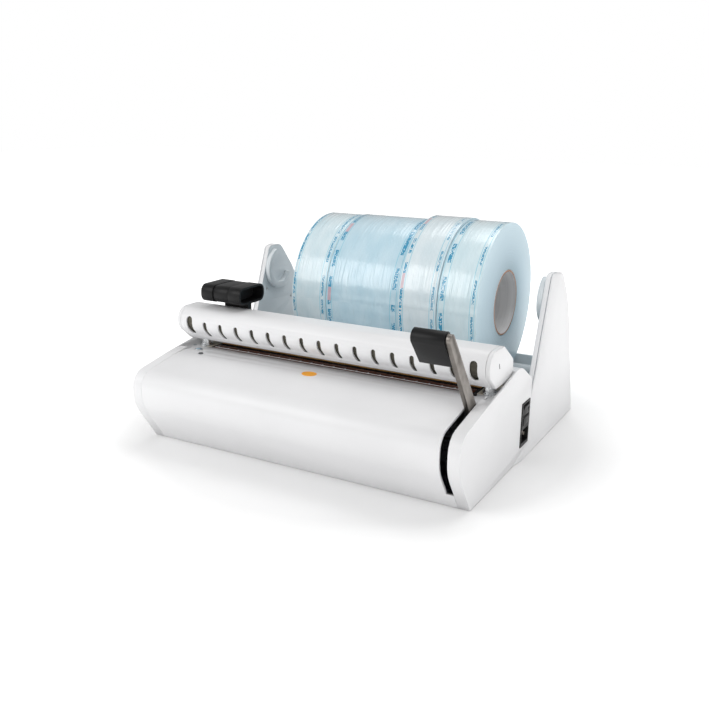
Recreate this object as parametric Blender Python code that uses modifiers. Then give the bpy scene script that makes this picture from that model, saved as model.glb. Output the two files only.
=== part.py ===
"""Benchtop heat sealer for sterilisation pouch reels, with its reel stand and four reels.

Every size is in metres.  +X runs along the sealing bar to the lever side, +Y goes from the
rounded front to the reel stand and +Z is up.  Sections are drawn in the machine's own Y and Z,
with Y measured from the front edge of the base, and FRAME_Y moves the whole machine so that
the origin is under the middle of its bounding box.
"""

import bpy
import bmesh
from math import atan2, cos, pi, radians, sin, sqrt, tan
from mathutils import Matrix, Vector

# ---------------------------------------------------------------- driving dimensions
GAP = 0.0003                    # air between pieces that touch
FRAME_Y = 0.15652               # front edge of the base to the origin

BODY_HALF = 0.2033              # centre plane to the outside of a cheek
SEAM_HALF = 0.1906              # centre plane to the joint between cover and cheek
SKIN = 0.0025                   # wall of the moulded covers
DECK_Z = 0.0966                 # level of the sealing jaw and the ledges beside it
DECK_EDGE_Y = 0.0745            # rear edge of the front deck, where the comb sits
NOSE_Y = -0.0340                # foremost face of the cover
HUMP_Z = 0.1136                 # top of the raised rim behind the bar
HUMP_Y = 0.1186                 # front of that rim
BODY_REAR_Y = 0.1780            # rear of the sealer body
FOOT_LIFT = 0.0006              # how far the feet stand out under the covers

BAR_HALF = 0.1998               # half length of the pressing bar with its end caps
BAR_FRONT_Y = 0.0440
BAR_BACK_Y = 0.1160
BAR_TOP_Z = 0.1500
BAR_BOTTOM_Z = 0.1085
BAR_NOSE_R = 0.0160
BAR_WALL = 0.0022
CAP_LENGTH = 0.0050
BAR_STROKE = 0.0087             # the bar's travel down to the jaw
CUT_Y = 0.0910                  # plane of the cutter blade
CUT_SLOT = 0.0090               # width of the slot that the blade carriage runs in
SLOT_PITCH = 0.0227             # spacing of the vents along the bar's front
SLOT_COUNT = 15
SLOT_WIDTH = 0.0054
END_SLOT_X = 0.1819
END_SLOT_WIDTH = 0.0086
SLOT_LOW_Z = 0.1165
SLOT_HIGH_Z = 0.1362

COMB_PITCH = 0.0150
COMB_COUNT = 23
JAW_HALF = 0.1750               # half length of the sealing jaw
SEAL_WIDTH = 0.0070             # heated band
JAW_DROP = 0.0004               # top of the jaw's insulator below the deck
PAD_DEPTH = 0.0019              # how far the pads hang under the bar
TONGUE = 0.0120                 # how far a cap closes the end of the blade's slot

PIVOT_Y = 0.0633                # lever shaft
PIVOT_Z = 0.0500
SHAFT_R = 0.0060
LEVER_LEAN = 36.0               # degrees forward of upright at rest
LEVER_SWING = 64.0              # the grip stays above the bench
LEVER_REACH = 0.1615            # shaft to the rounded tip's centre
LEVER_WIDTH = 0.0115
LEVER_THICK = 0.0050
LEVER_SLOT = 0.0086             # slot in the cover beside the seam
LEVER_INSET = 0.0034            # seam to the middle of the lever's thickness
SLOT_TOP_Y = 0.0440
SLOT_FOOT_Z = 0.0190
GRIP_LENGTH = 0.0340
GRIP_HEIGHT = 0.0410
GRIP_THICK = 0.0170

POST_X = 0.1875
POST_Y = 0.0820
POST_R = 0.0060
CAM_X = 0.1755
CAM_R = 0.0120
CAM_THICK = 0.0080
CAM_LEAD = 0.0024               # air between the cam's lowest point and the yoke at rest

STAND_HALF = 0.2065             # centre plane to the outside of a support
SUPPORT_INNER = 0.1947          # centre plane to a support's inner face
SUPPORT_SPLIT = 0.2006          # joint between the two shells of a support
STAND_BACK_Y = 0.3520
SUPPORT_TOP_Z = 0.2005
TRAY_Z = 0.0160
BACK_PANEL_Y = 0.3200
BACK_PANEL_Z = 0.0750
PEG_HOLES = [(0.2256, 0.1419), (0.2848, 0.1213)]
PEG_HOLE_R = 0.0018
CUP_Y = 0.2515
CUP_Z = 0.1685
CUP_R = 0.0290
CUP_BORE_R = 0.0200
CUP_DEPTH = 0.0068

REEL_Y = 0.2538
REEL_Z = 0.1567
REEL_START_X = -0.1094
REELS = [                       # name, width, outer radius
    ("a", 0.0500, 0.0955),
    ("b", 0.1000, 0.0960),
    ("c", 0.0500, 0.0985),
    ("d", 0.0500, 0.0975),
]
NOMINAL_REEL_R = 0.0980         # the reel that would sit exactly at REEL_Z
CORE_BORE_R = 0.0381
CORE_R = 0.0403
ROLLER_R = 0.0120
ROLLER_OFFSET = 0.0450          # from the reels' axis plane to a roller's axis

KNOB_X = -0.1465
KNOB_LENGTH = 0.0570
KNOB_DEPTH = 0.0500
KNOB_HEIGHT = 0.0210
KNOB_LIFT = 0.0070              # gap between the bar's top and the knob
CUTTER_TRAVEL = 0.2930

LAMPS = [("lamp_power", -0.1775, 0.0545), ("lamp_ready", -0.1626, 0.0400)]

INLET_Y = 0.1600                # centre of the mains module on the right cheek
INLET_Z = 0.0418
INLET_WIDTH = 0.0270
INLET_HEIGHT = 0.0525

FACETS = 32


# ---------------------------------------------------------------- scene and materials
for old in list(bpy.data.objects):
    bpy.data.objects.remove(old, do_unlink=True)

PARTS = bpy.data.collections.new("pouch_reel_heat_sealer")
CUTTERS = bpy.data.collections.new("cutters")
bpy.context.scene.collection.children.link(PARTS)
bpy.context.scene.collection.children.link(CUTTERS)


def material(name, red, green, blue, roughness, metallic=0.0):
    made = bpy.data.materials.new(name)
    made.use_nodes = True
    shader = made.node_tree.nodes["Principled BSDF"]
    shader.inputs["Base Color"].default_value = (red, green, blue, 1.0)
    shader.inputs["Roughness"].default_value = roughness
    shader.inputs["Metallic"].default_value = metallic
    return made


WHITE = material("white_abs", 0.80, 0.80, 0.81, 0.38)
GREY_WHITE = material("grey_white_abs", 0.62, 0.64, 0.65, 0.45)
BLACK = material("black_abs", 0.02, 0.02, 0.02, 0.45)
DARK = material("olive_grey_anodised", 0.10, 0.095, 0.08, 0.5, 0.6)
STEEL = material("zinc_plated_steel", 0.62, 0.63, 0.64, 0.32, 1.0)
BRUSHED = material("brushed_stainless", 0.50, 0.49, 0.48, 0.38, 1.0)
RUBBER = material("black_rubber", 0.025, 0.025, 0.025, 0.85)
SILICONE = material("red_brown_silicone", 0.30, 0.10, 0.06, 0.6)
BRONZE = material("bronze_element", 0.52, 0.33, 0.14, 0.4, 0.8)
PTFE = material("brown_ptfe_cloth", 0.09, 0.03, 0.015, 0.4)
PHENOLIC = material("black_phenolic", 0.015, 0.012, 0.01, 0.6)
CREAM = material("cream_polyamide", 0.66, 0.60, 0.48, 0.55)
BOARD = material("green_circuit_board", 0.02, 0.16, 0.07, 0.5)
CARDBOARD = material("grey_cardboard", 0.32, 0.27, 0.24, 0.85)
FILM = material("pouch_film", 0.60, 0.74, 0.79, 0.16)
LENS = material("pale_blue_lens", 0.45, 0.62, 0.75, 0.15)


def world_point(x, y, z):
    return Vector((x, y - FRAME_Y, z))


# ---------------------------------------------------------------- outlines in Y and Z
def arc(centre, radius, start, end, steps):
    """Points along an arc, both ends included; angles in degrees from +Y towards +Z."""
    points = []
    for step in range(steps + 1):
        angle = radians(start + (end - start) * step / steps)
        points.append((centre[0] + radius * cos(angle), centre[1] + radius * sin(angle)))
    return points


def rounded(corners, steps=5):
    """Closed outline through corners of (y, z, radius), with each radius as an arc."""
    outline = []
    count = len(corners)
    for index in range(count):
        y, z, radius = corners[index]
        if radius == 0.0:
            outline.append((y, z))
            continue
        before = Vector(corners[index - 1][:2]) - Vector((y, z))
        after = Vector(corners[(index + 1) % count][:2]) - Vector((y, z))
        half = before.angle(after) / 2
        reach = radius / tan(half)
        start = Vector((y, z)) + before.normalized() * reach
        end = Vector((y, z)) + after.normalized() * reach
        inward = (before.normalized() + after.normalized()).normalized()
        middle = Vector((y, z)) + inward * (radius / sin(half))
        first = atan2(start.y - middle.y, start.x - middle.x)
        turn = atan2(end.y - middle.y, end.x - middle.x) - first
        turn = (turn + pi) % (2 * pi) - pi
        for step in range(steps + 1):
            angle = first + turn * step / steps
            outline.append((middle.x + radius * cos(angle), middle.y + radius * sin(angle)))
    return outline


def area(outline):
    total = 0.0
    for index, (y, z) in enumerate(outline):
        last_y, last_z = outline[index - 1]
        total += last_y * z - y * last_z
    return total / 2


def inset(outline, distance):
    """The same closed outline with every side moved inwards by a distance."""
    side = 1.0 if area(outline) > 0 else -1.0
    moved = []
    count = len(outline)
    for index in range(count):
        here = Vector(outline[index])
        back = (here - Vector(outline[index - 1])).normalized()
        ahead = (Vector(outline[(index + 1) % count]) - here).normalized()
        normal_back = Vector((-back.y, back.x)) * side
        normal_ahead = Vector((-ahead.y, ahead.x)) * side
        mean = (normal_back + normal_ahead).normalized()
        moved.append(tuple(here + mean * (distance / mean.dot(normal_back))))
    return moved


# ---------------------------------------------------------------- solids
def settle(obj, skin):
    """Give a piece its material and smooth shading between sharp edges."""
    obj.data.materials.clear()
    obj.data.materials.append(skin)
    obj.data.shade_smooth()
    obj.data.set_sharp_from_angle(angle=radians(35.0))
    return obj


def add_mesh(name, work, skin, home=PARTS):
    mesh = bpy.data.meshes.new(name)
    work.to_mesh(mesh)
    work.free()
    obj = bpy.data.objects.new(name, mesh)
    home.objects.link(obj)
    return settle(obj, skin)


def plate(name, outline, low, high, skin, home=PARTS, axis="X"):
    """A flat closed outline with thickness: drawn in YZ across X, or in XY or XZ."""
    curve = bpy.data.curves.new(name, "CURVE")
    curve.dimensions = "2D"
    curve.fill_mode = "BOTH"
    curve.extrude = (high - low) / 2
    spline = curve.splines.new("POLY")
    spline.points.add(len(outline) - 1)
    for point, (first, second) in zip(spline.points, outline):
        point.co = (first, second, 0.0, 1.0)
    spline.use_cyclic_u = True
    drawn = bpy.data.objects.new(name + "_outline", curve)
    bpy.context.scene.collection.objects.link(drawn)
    middle = (low + high) / 2
    columns = {
        "X": ((0, 1, 0), (0, 0, 1), (1, 0, 0), world_point(middle, 0, 0)),
        "Y": ((-1, 0, 0), (0, 0, 1), (0, 1, 0), world_point(0, middle, 0)),
        "Z": ((1, 0, 0), (0, 1, 0), (0, 0, 1), world_point(0, 0, middle)),
    }[axis]
    turn = Matrix((columns[0], columns[1], columns[2])).transposed().to_4x4()
    turn.translation = columns[3]
    bpy.context.view_layer.update()
    depsgraph = bpy.context.evaluated_depsgraph_get()
    mesh = bpy.data.meshes.new_from_object(drawn.evaluated_get(depsgraph))
    bpy.data.objects.remove(drawn, do_unlink=True)
    mesh.transform(turn)
    work = bmesh.new()
    work.from_mesh(mesh)
    bpy.data.meshes.remove(mesh)
    bmesh.ops.remove_doubles(work, verts=work.verts, dist=1e-6)
    bmesh.ops.recalc_face_normals(work, faces=work.faces)
    return add_mesh(name, work, skin, home)


def box(name, x, y, z, skin, home=PARTS):
    """A block between pairs of x, y and z."""
    work = bmesh.new()
    size = (x[1] - x[0], y[1] - y[0], z[1] - z[0])
    centre = world_point((x[0] + x[1]) / 2, (y[0] + y[1]) / 2, (z[0] + z[1]) / 2)
    place = Matrix.Translation(centre) @ Matrix.Diagonal((*size, 1.0))
    bmesh.ops.create_cube(work, size=1.0, matrix=place)
    return add_mesh(name, work, skin, home)


def round_edges(obj, width, segments=2, angle=30.0):
    rounding = obj.modifiers.new("rounding", "BEVEL")
    rounding.width = width
    rounding.segments = segments
    rounding.limit_method = "ANGLE"
    rounding.angle_limit = radians(angle)


def round_rim(obj, x, width):
    """Round the outline of a plate's face at one x and leave its other face sharp."""
    work = bmesh.new()
    work.from_mesh(obj.data)
    weight = work.edges.layers.float.new("bevel_weight_edge")
    for edge in work.edges:
        on_face = all(abs(vert.co.x - x) < 1e-6 for vert in edge.verts)
        edge[weight] = 1.0 if on_face and edge.calc_face_angle() > 1.0 else 0.0
    work.to_mesh(obj.data)
    work.free()
    round_edges(obj, width)
    obj.modifiers["rounding"].limit_method = "WEIGHT"


def rod(name, centre, radius, length, axis, skin, home=PARTS, facets=FACETS):
    """A cylinder about a point, along X, Y or Z."""
    turns = {"X": Matrix.Rotation(pi / 2, 4, "Y"), "Y": Matrix.Rotation(pi / 2, 4, "X"), "Z": Matrix()}
    work = bmesh.new()
    place = Matrix.Translation(world_point(*centre)) @ turns[axis]
    bmesh.ops.create_cone(
        work, cap_ends=True, segments=facets, radius1=radius, radius2=radius, depth=length, matrix=place
    )
    return add_mesh(name, work, skin, home)


def turned(name, profile, centre, skin, home=PARTS, facets=FACETS):
    """A turned piece about an axis along X: profile of (x, radius) down the outside."""
    mesh = bpy.data.meshes.new(name)
    work = bmesh.new()
    points = [work.verts.new((radius, 0.0, x)) for x, radius in profile]
    for first, second in zip(points, points[1:] + points[:1]):
        work.edges.new((first, second))
    work.to_mesh(mesh)
    work.free()
    obj = bpy.data.objects.new(name, mesh)
    home.objects.link(obj)
    screw = obj.modifiers.new("turn", "SCREW")
    screw.axis = "Z"
    screw.steps = facets
    screw.render_steps = facets
    screw.use_merge_vertices = True
    screw.merge_threshold = 0.00001
    obj.matrix_world = Matrix.Translation(world_point(*centre)) @ Matrix.Rotation(pi / 2, 4, "Y")
    return settle(obj, skin)


def tube(name, x, outer, inner, centre, skin, chamfer=0.0, facets=FACETS):
    """A tube about X between two x values, with chamfered outer rims."""
    low, high = x
    rim = [(high, outer), (low, outer)]
    if chamfer:
        rim = [
            (high, outer - chamfer),
            (high - chamfer, outer),
            (low + chamfer, outer),
            (low, outer - chamfer),
        ]
    profile = [(high, inner)] + rim + [(low, inner)]
    return turned(name, profile, (0.0, centre[0], centre[1]), skin, facets=facets)


def boolean(obj, tool, operation):
    tool.hide_render = True
    tool.display_type = "WIRE"
    change = obj.modifiers.new(operation.lower(), "BOOLEAN")
    change.operation = operation
    change.solver = "EXACT"
    change.object = tool
    return obj


def cut(obj, tool):
    return boolean(obj, tool, "DIFFERENCE")


def join(obj, tool):
    return boolean(obj, tool, "UNION")


def cutter_box(name, x, y, z):
    return box(name, x, y, z, BLACK, CUTTERS)


def sides():
    """Name and sign of the two mirrored sides."""
    return (("left", -1.0), ("right", 1.0))


def span(sign, near, far):
    """A pair of x values on one side, lowest first."""
    return tuple(sorted((sign * near, sign * far)))


# ---------------------------------------------------------------- sections of the body
DECK_SLOPE = 0.185
deck_line_z = 0.0971 - (0.0244 - NOSE_Y) * DECK_SLOPE
nose_corner_z = 0.0500
NOSE = [
    (0.0, FOOT_LIFT, 0.0),
    (NOSE_Y, nose_corner_z, 0.040),
    (NOSE_Y, deck_line_z, 0.020),
]


def cheek_outline():
    """Side view of a cheek: nose, rising top, hump behind the bar and the rear edge."""
    corners = NOSE + [
        (0.0300, 0.0984, 0.200),
        (0.0660, 0.1038, 0.060),
        (0.1235, HUMP_Z + 0.0007, 0.030),
        (0.1400, HUMP_Z - 0.0011, 0.030),
        (BODY_REAR_Y, 0.0900, 0.010),
        (BODY_REAR_Y, TRAY_Z, 0.007),
        (0.1265, FOOT_LIFT, 0.0),
    ]
    return rounded(corners, 4)


def cover_outline():
    """Side view of the front cover as a filled shape; its back is open."""
    corners = NOSE + [
        (0.0360, 0.0994, 0.120),
        (DECK_EDGE_Y, DECK_Z, 0.0),
        (DECK_EDGE_Y, FOOT_LIFT, 0.0),
    ]
    return rounded(corners, 6)


def rear_outline():
    corners = [
        (HUMP_Y, 0.0860, 0.0),
        (HUMP_Y, HUMP_Z, 0.004),
        (0.1390, HUMP_Z, 0.010),
        (BODY_REAR_Y, 0.0900, 0.010),
        (BODY_REAR_Y, TRAY_Z, 0.007),
        (0.1265, FOOT_LIFT, 0.0),
        (0.1165, FOOT_LIFT, 0.0),
    ]
    return rounded(corners, 4)


def bar_outline():
    """Section of the pressing bar: round nose, flat top, sloping back and flat bottom."""
    centre = (BAR_FRONT_Y + BAR_NOSE_R, BAR_TOP_Z - BAR_NOSE_R)
    lower = 230.0
    outline = arc(centre, BAR_NOSE_R, 90.0, lower, 9)
    end_y, end_z = outline[-1]
    slide = (end_z - BAR_BOTTOM_Z) / tan(radians(40.0))
    outline.append((end_y + slide, BAR_BOTTOM_Z))
    outline.append((BAR_BACK_Y - 0.0085, BAR_BOTTOM_Z))
    outline.append((BAR_BACK_Y, BAR_BOTTOM_Z + 0.0075))
    outline += arc((BAR_BACK_Y - 0.008, BAR_BOTTOM_Z + 0.0155), 0.008, 0.0, 55.0, 3)
    outline += arc((0.0810, BAR_TOP_Z - 0.008), 0.008, 57.0, 90.0, 3)
    return outline


# ---------------------------------------------------------------- sealer body
def front_cover():
    outer = cover_outline()
    cover = plate("front_cover", outer, -SEAM_HALF + GAP, SEAM_HALF - GAP, WHITE)
    hollow = plate("front_cover_hollow", inset(outer, SKIN), -1.0, 1.0, BLACK, CUTTERS)
    cut(cover, hollow)
    under_deck = DECK_Z - SKIN - 0.002
    back = cutter_box("front_cover_back", (-1, 1), (DECK_EDGE_Y - 0.009, 0.2), (-0.01, under_deck))
    cut(cover, back)
    floor = cutter_box("front_cover_floor", (-1, 1), (0.006, 0.2), (-0.01, 0.02))
    cut(cover, floor)
    slot = cutter_box(
        "lever_slot", (SEAM_HALF - LEVER_SLOT, 0.3), (-0.1, SLOT_TOP_Y), (SLOT_FOOT_Z, 0.2)
    )
    cut(cover, slot)
    for name, x, y in LAMPS:
        cut(cover, rod(name + "_hole", (x, y, 0.098), 0.0033, 0.02, "Z", BLACK, CUTTERS, 24))
    for side, sign in sides():
        cut(cover, post_hole(side + "_cover_hole", sign))
    return cover


def cheek(side, sign):
    outer = cheek_outline()
    wall = plate(side + "_cheek", outer, *span(sign, SEAM_HALF, BODY_HALF), WHITE)
    round_rim(wall, sign * BODY_HALF, 0.0012)
    ledge = plate(
        side + "_ledge",
        [
            (0.0480, 0.1010),
            (0.0620, DECK_Z),
            (HUMP_Y - 0.0004, DECK_Z),
            (HUMP_Y - 0.0004, 0.2),
            (0.0480, 0.2),
        ],
        *span(sign, 0.1, BODY_HALF - SKIN + 0.0003),
        BLACK,
        CUTTERS,
    )
    cut(wall, ledge)
    pocket_x = span(sign, 0.1, BODY_HALF - SKIN)
    pocket = plate(side + "_pocket", inset(outer, 0.0040), *pocket_x, BLACK, CUTTERS)
    roof = cutter_box(side + "_pocket_roof", (-1, 1), (0.0, 0.2), (DECK_Z - 0.004, 0.2))
    cut(pocket, roof)
    cut(wall, pocket)
    cut(wall, post_hole(side + "_cheek_hole", sign))
    if sign > 0:
        cut(wall, inlet_window("cheek_inlet_window"))
    return wall


def inlet_window(name):
    """Cutter for the opening that the mains inlet sits in."""
    half_y = INLET_WIDTH / 2 + GAP
    half_z = INLET_HEIGHT / 2 + GAP
    y = (INLET_Y - half_y, INLET_Y + half_y)
    return cutter_box(name, (0.15, 0.25), y, (INLET_Z - half_z, INLET_Z + half_z))


def rear_cover():
    outer = rear_outline()
    cover = plate("rear_cover", outer, -SEAM_HALF + GAP, SEAM_HALF - GAP, WHITE)
    cut(cover, plate("rear_cover_hollow", inset(outer, SKIN), -1.0, 1.0, BLACK, CUTTERS))
    mouth = cutter_box("rear_cover_mouth", (-1, 1), (0.05, 0.1725), (-0.01, 0.0840))
    cut(cover, mouth)
    cut(cover, inlet_window("rear_inlet_window"))
    return cover


def post_hole(name, sign):
    """Clearance cutter for a guide bush, straight down through the ledge."""
    return rod(name, (sign * POST_X, POST_Y, DECK_Z), BUSH_R + GAP, 0.03, "Z", BLACK, CUTTERS)


BASE_LOW = 0.0023               # underside of the chassis and the tray
SHEET = 0.0020                  # sheet steel of the chassis
BUSH_R = POST_R + GAP + 0.0013


def chassis():
    """Sheet steel base with two upright ears that carry the lever shaft."""
    top = BASE_LOW + SHEET
    base = box("chassis", (-0.1875, 0.1875), (0.0085, 0.1160), (BASE_LOW, top), STEEL)
    for side, sign in sides():
        ear = plate(
            side + "_ear",
            rounded(
                [
                    (PIVOT_Y - 0.016, top - 0.001, 0.0),
                    (PIVOT_Y - 0.011, PIVOT_Z + 0.011, 0.010),
                    (PIVOT_Y + 0.011, PIVOT_Z + 0.011, 0.010),
                    (PIVOT_Y + 0.016, top - 0.001, 0.0),
                ]
            ),
            *span(sign, CAM_X - 0.0120, CAM_X - 0.0120 + SHEET),
            STEEL,
            CUTTERS,
        )
        join(base, ear)
    bore = rod("shaft_bore", (0.0, PIVOT_Y, PIVOT_Z), SHAFT_R + GAP, 0.4, "X", BLACK, CUTTERS)
    cut(base, bore)
    return base


def feet():
    for place, y in (("front", 0.0200), ("rear", 0.3350)):
        for side, sign in sides():
            centre = (sign * 0.165, y, (BASE_LOW - GAP) / 2)
            rod("foot_%s_%s" % (place, side), centre, 0.0090, BASE_LOW - GAP, "Z", RUBBER, facets=24)


def jaw():
    """The lower jaw: insulator, heated band, PTFE cloth and the cutter's groove between them."""
    floor_z = DECK_Z - 0.0090
    top = DECK_Z - JAW_DROP
    y = (DECK_EDGE_Y + 0.0010, HUMP_Y - 0.0010)
    block = box("jaw_insulator", (-JAW_HALF, JAW_HALF), y, (floor_z, top), PHENOLIC)
    groove_y = (CUT_Y - 0.0020, CUT_Y + 0.0020)
    strip_x = (-JAW_HALF + 0.004, JAW_HALF - 0.004)
    cut(block, cutter_box("cutter_groove", strip_x, groove_y, (DECK_Z - 0.0070, 0.2)))
    cloth_y = (DECK_EDGE_Y + 0.0012, CUT_Y - 0.0030)
    box("ptfe_cloth", strip_x, cloth_y, (top + GAP, top + CLOTH_TOP), PTFE)
    band_y = (SEAL_Y - SEAL_WIDTH / 2, SEAL_Y + SEAL_WIDTH / 2)
    box("heating_band", (-JAW_HALF + 0.002, JAW_HALF - 0.002), band_y, (top + GAP, top + 0.0011), BRONZE)
    carrier_y = (DECK_EDGE_Y + 0.0170, HUMP_Y - 0.0060)
    carrier_z = (BASE_LOW + SHEET + GAP, floor_z - GAP)
    carrier = box("jaw_carrier", (-JAW_HALF, JAW_HALF), carrier_y, carrier_z, STEEL)
    inner_y = (carrier_y[0] + SHEET, carrier_y[1] - SHEET)
    inner_z = (carrier_z[0] + SHEET, carrier_z[1] - SHEET)
    cut(carrier, cutter_box("jaw_carrier_hollow", (-1, 1), inner_y, inner_z))


SEAL_Y = CUT_Y + 0.0075
CLOTH_TOP = 0.0007              # top of the release cloth above the insulator


def comb():
    """Row of small teeth that keep the film flat, on a thin strip along the deck's edge."""
    low = DECK_Z - JAW_DROP + CLOTH_TOP + GAP
    strip_y = DECK_EDGE_Y + 0.0012
    root_y = strip_y + 0.0010
    first = -(COMB_COUNT - 1) * COMB_PITCH / 2
    outline = [(-first + 0.004, strip_y), (first - 0.004, strip_y), (first - 0.004, root_y)]
    for tooth in range(COMB_COUNT):
        x = first + tooth * COMB_PITCH
        outline += [(x - 0.0018, root_y), (x, root_y + 0.0034), (x + 0.0018, root_y)]
    outline.append((-first + 0.004, root_y))
    plate("film_comb", outline, low, low + 0.0006, WHITE, axis="Z")


def ledge_plates():
    for side, sign in sides():
        x = span(sign, JAW_HALF + GAP, SEAM_HALF - 2 * GAP)
        y = (DECK_EDGE_Y + 0.0010, HUMP_Y - 0.0010)
        guide = box(side + "_ledge_plate", x, y, (DECK_Z - 0.0022, DECK_Z), CREAM)
        cut(guide, post_hole(side + "_plate_hole", sign))


def lamps():
    """Two indicator lamps let into the deck at its left rear corner."""
    for name, x, y in LAMPS:
        lamp = rod(name, (x, y, 0.0965), 0.0030, 0.0062, "Z", LENS, facets=24)
        round_edges(lamp, 0.0006, 2)


# ---------------------------------------------------------------- mains inlet
def inlet():
    """Switched and fused mains inlet: housing with three bays, contact pins, drawer and rocker."""
    face = BODY_HALF + 0.0010
    half_y = INLET_WIDTH / 2
    half_z = INLET_HEIGHT / 2
    housing = box(
        "inlet_housing",
        (face - 0.0300, face),
        (INLET_Y - half_y, INLET_Y + half_y),
        (INLET_Z - half_z, INLET_Z + half_z),
        BLACK,
    )
    bays = (
        ("rocker_bay", 0.0095, ROCKER_HALF + 0.0014, ROCKER_Z, 0.0150),
        ("drawer_bay", 0.0095, DRAWER_HALF + GAP, DRAWER_Z, 0.0270),
        ("socket_bay", 0.0113, 0.0080, SOCKET_Z, 0.0160),
    )
    for name, half_width, half_height, z, depth in bays:
        y = (INLET_Y - half_width, INLET_Y + half_width)
        cut(housing, cutter_box(name, (face - depth, face + 0.01), y, (z - half_height, z + half_height)))
    back = face - 0.0160
    plate_y = (INLET_Y - 0.0090, INLET_Y + 0.0090)
    plate_z = (SOCKET_Z - 0.0040, SOCKET_Z + 0.0060)
    pins = box("inlet_pins", (back + GAP, back + 0.0015), plate_y, plate_z, BRUSHED)
    for index, (offset, lift) in enumerate(((-0.0070, -0.0010), (0.0, 0.0030), (0.0070, -0.0010))):
        y = (INLET_Y + offset - 0.0010, INLET_Y + offset + 0.0010)
        z = (SOCKET_Z + lift - 0.0020, SOCKET_Z + lift + 0.0020)
        join(pins, cutter_box("pin_%d" % index, (back + 0.0010, face - 0.0030), y, z))
    drawer_y = (INLET_Y - 0.0092, INLET_Y + 0.0092)
    drawer = box(
        "fuse_drawer",
        (face - 0.0260, face + 0.0006),
        drawer_y,
        (DRAWER_Z - DRAWER_HALF, DRAWER_Z + DRAWER_HALF),
        BLACK,
    )
    trough_y = (INLET_Y - 0.0035, INLET_Y + 0.0035)
    trough_x = (face - 0.0240, face - 0.0020)
    cut(drawer, cutter_box("fuse_trough", trough_x, trough_y, (DRAWER_Z - 0.002, 0.2)))
    lip = face + 0.0016
    outline = [
        (-(ROCKER_X - 0.0030), ROCKER_Z - ROCKER_HALF),
        (-(lip - 0.0014), ROCKER_Z - ROCKER_HALF),
        (-(lip - 0.0020), ROCKER_Z),
        (-lip, ROCKER_Z + ROCKER_HALF - 0.0006),
        (-(ROCKER_X - 0.0030), ROCKER_Z + ROCKER_HALF),
    ]
    plate("mains_rocker", outline, INLET_Y - 0.0090, INLET_Y + 0.0090, BLACK, axis="Y")


ROCKER_HALF = 0.0062
ROCKER_Z = INLET_Z + 0.0165
ROCKER_X = BODY_HALF - 0.0020
DRAWER_HALF = 0.0045
DRAWER_Z = INLET_Z + 0.0035
SOCKET_Z = INLET_Z - 0.0140


# ---------------------------------------------------------------- parts inside the body
def internals():
    floor = BASE_LOW + SHEET + GAP
    core = box("transformer", (-0.1450, -0.0850), (0.0140, 0.0440), (floor, floor + 0.0480), STEEL)
    coil_z = (floor + 0.010, floor + 0.038)
    coil = cutter_box("transformer_coil", (-0.1350, -0.0950), (0.0120, 0.0460), coil_z)
    join(core, coil)
    board_z = (floor + 0.0080, floor + 0.0096)
    board = box("control_board", (-0.0600, 0.0600), (0.0140, 0.0480), board_z, BOARD)
    for x in (-0.0550, 0.0550):
        for y in (0.0180, 0.0440):
            name = "board_post_%d_%d" % (x * 1000, y * 1000)
            join(board, rod(name, (x, y, floor + 0.0043), 0.0025, 0.0086, "Z", STEEL, CUTTERS, 12))
    join(board, cutter_box("relay", (-0.040, -0.018), (0.020, 0.036), (floor + 0.0090, floor + 0.0250)))
    capacitor = rod("capacitor", (0.0250, 0.0300, floor + 0.0195), 0.0080, 0.0210, "Z", BLACK, CUTTERS, 20)
    join(board, capacitor)


# ---------------------------------------------------------------- lever and cam shaft
def lever_point(along, across=0.0):
    """Point on the lever at rest, from the shaft towards the tip and across to its rear side."""
    lean = radians(LEVER_LEAN)
    y = PIVOT_Y - along * sin(lean) + across * cos(lean)
    z = PIVOT_Z + along * cos(lean) + across * sin(lean)
    return (y, z)


LEVER_X = SEAM_HALF - LEVER_INSET
HUB_R = 0.0110


def lever():
    pivot = bpy.data.objects.new("lever_pivot", None)
    pivot.location = world_point(0.0, PIVOT_Y, PIVOT_Z)
    PARTS.objects.link(pivot)
    half = LEVER_WIDTH / 2
    outline = []
    for angle_point in arc((0.0, 0.0), half, 0.0, 180.0, 8):
        outline.append(lever_point(LEVER_REACH + angle_point[1], angle_point[0]))
    for angle_point in arc((0.0, 0.0), HUB_R, 180.0 - 32.0, 360.0 + 32.0, 16):
        outline.append(lever_point(angle_point[1], angle_point[0]))
    arm = plate("lever_arm", outline, LEVER_X - LEVER_THICK / 2, LEVER_X + LEVER_THICK / 2, BRUSHED)
    round_edges(arm, 0.0005, 1, 60.0)
    bore = rod("lever_bore", (LEVER_X, PIVOT_Y, PIVOT_Z), SHAFT_R + GAP, 0.02, "X", BLACK, CUTTERS)
    cut(arm, bore)
    grip_x = LEVER_X - LEVER_THICK / 2 - GAP
    low = LEVER_REACH + half - GRIP_HEIGHT
    high = LEVER_REACH + half + 0.0010
    thick = GRIP_THICK / 2
    corners = [
        (*lever_point(low, -thick + 0.003), 0.003),
        (*lever_point(high, -thick), 0.007),
        (*lever_point(high, thick), 0.007),
        (*lever_point(low, thick - 0.003), 0.003),
    ]
    grip = plate("lever_grip", rounded(corners, 5), grip_x - GRIP_LENGTH, grip_x, BLACK)
    round_edges(grip, 0.0008, 2, 60.0)
    end = LEVER_X + LEVER_THICK / 2
    shaft = rod("lever_shaft", ((end - 0.1850) / 2, PIVOT_Y, PIVOT_Z), SHAFT_R, end + 0.1850, "X", STEEL)
    for side, sign in sides():
        join(shaft, cam(side, sign))
    for obj in (arm, grip, shaft):
        hang(obj, pivot)


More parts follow.
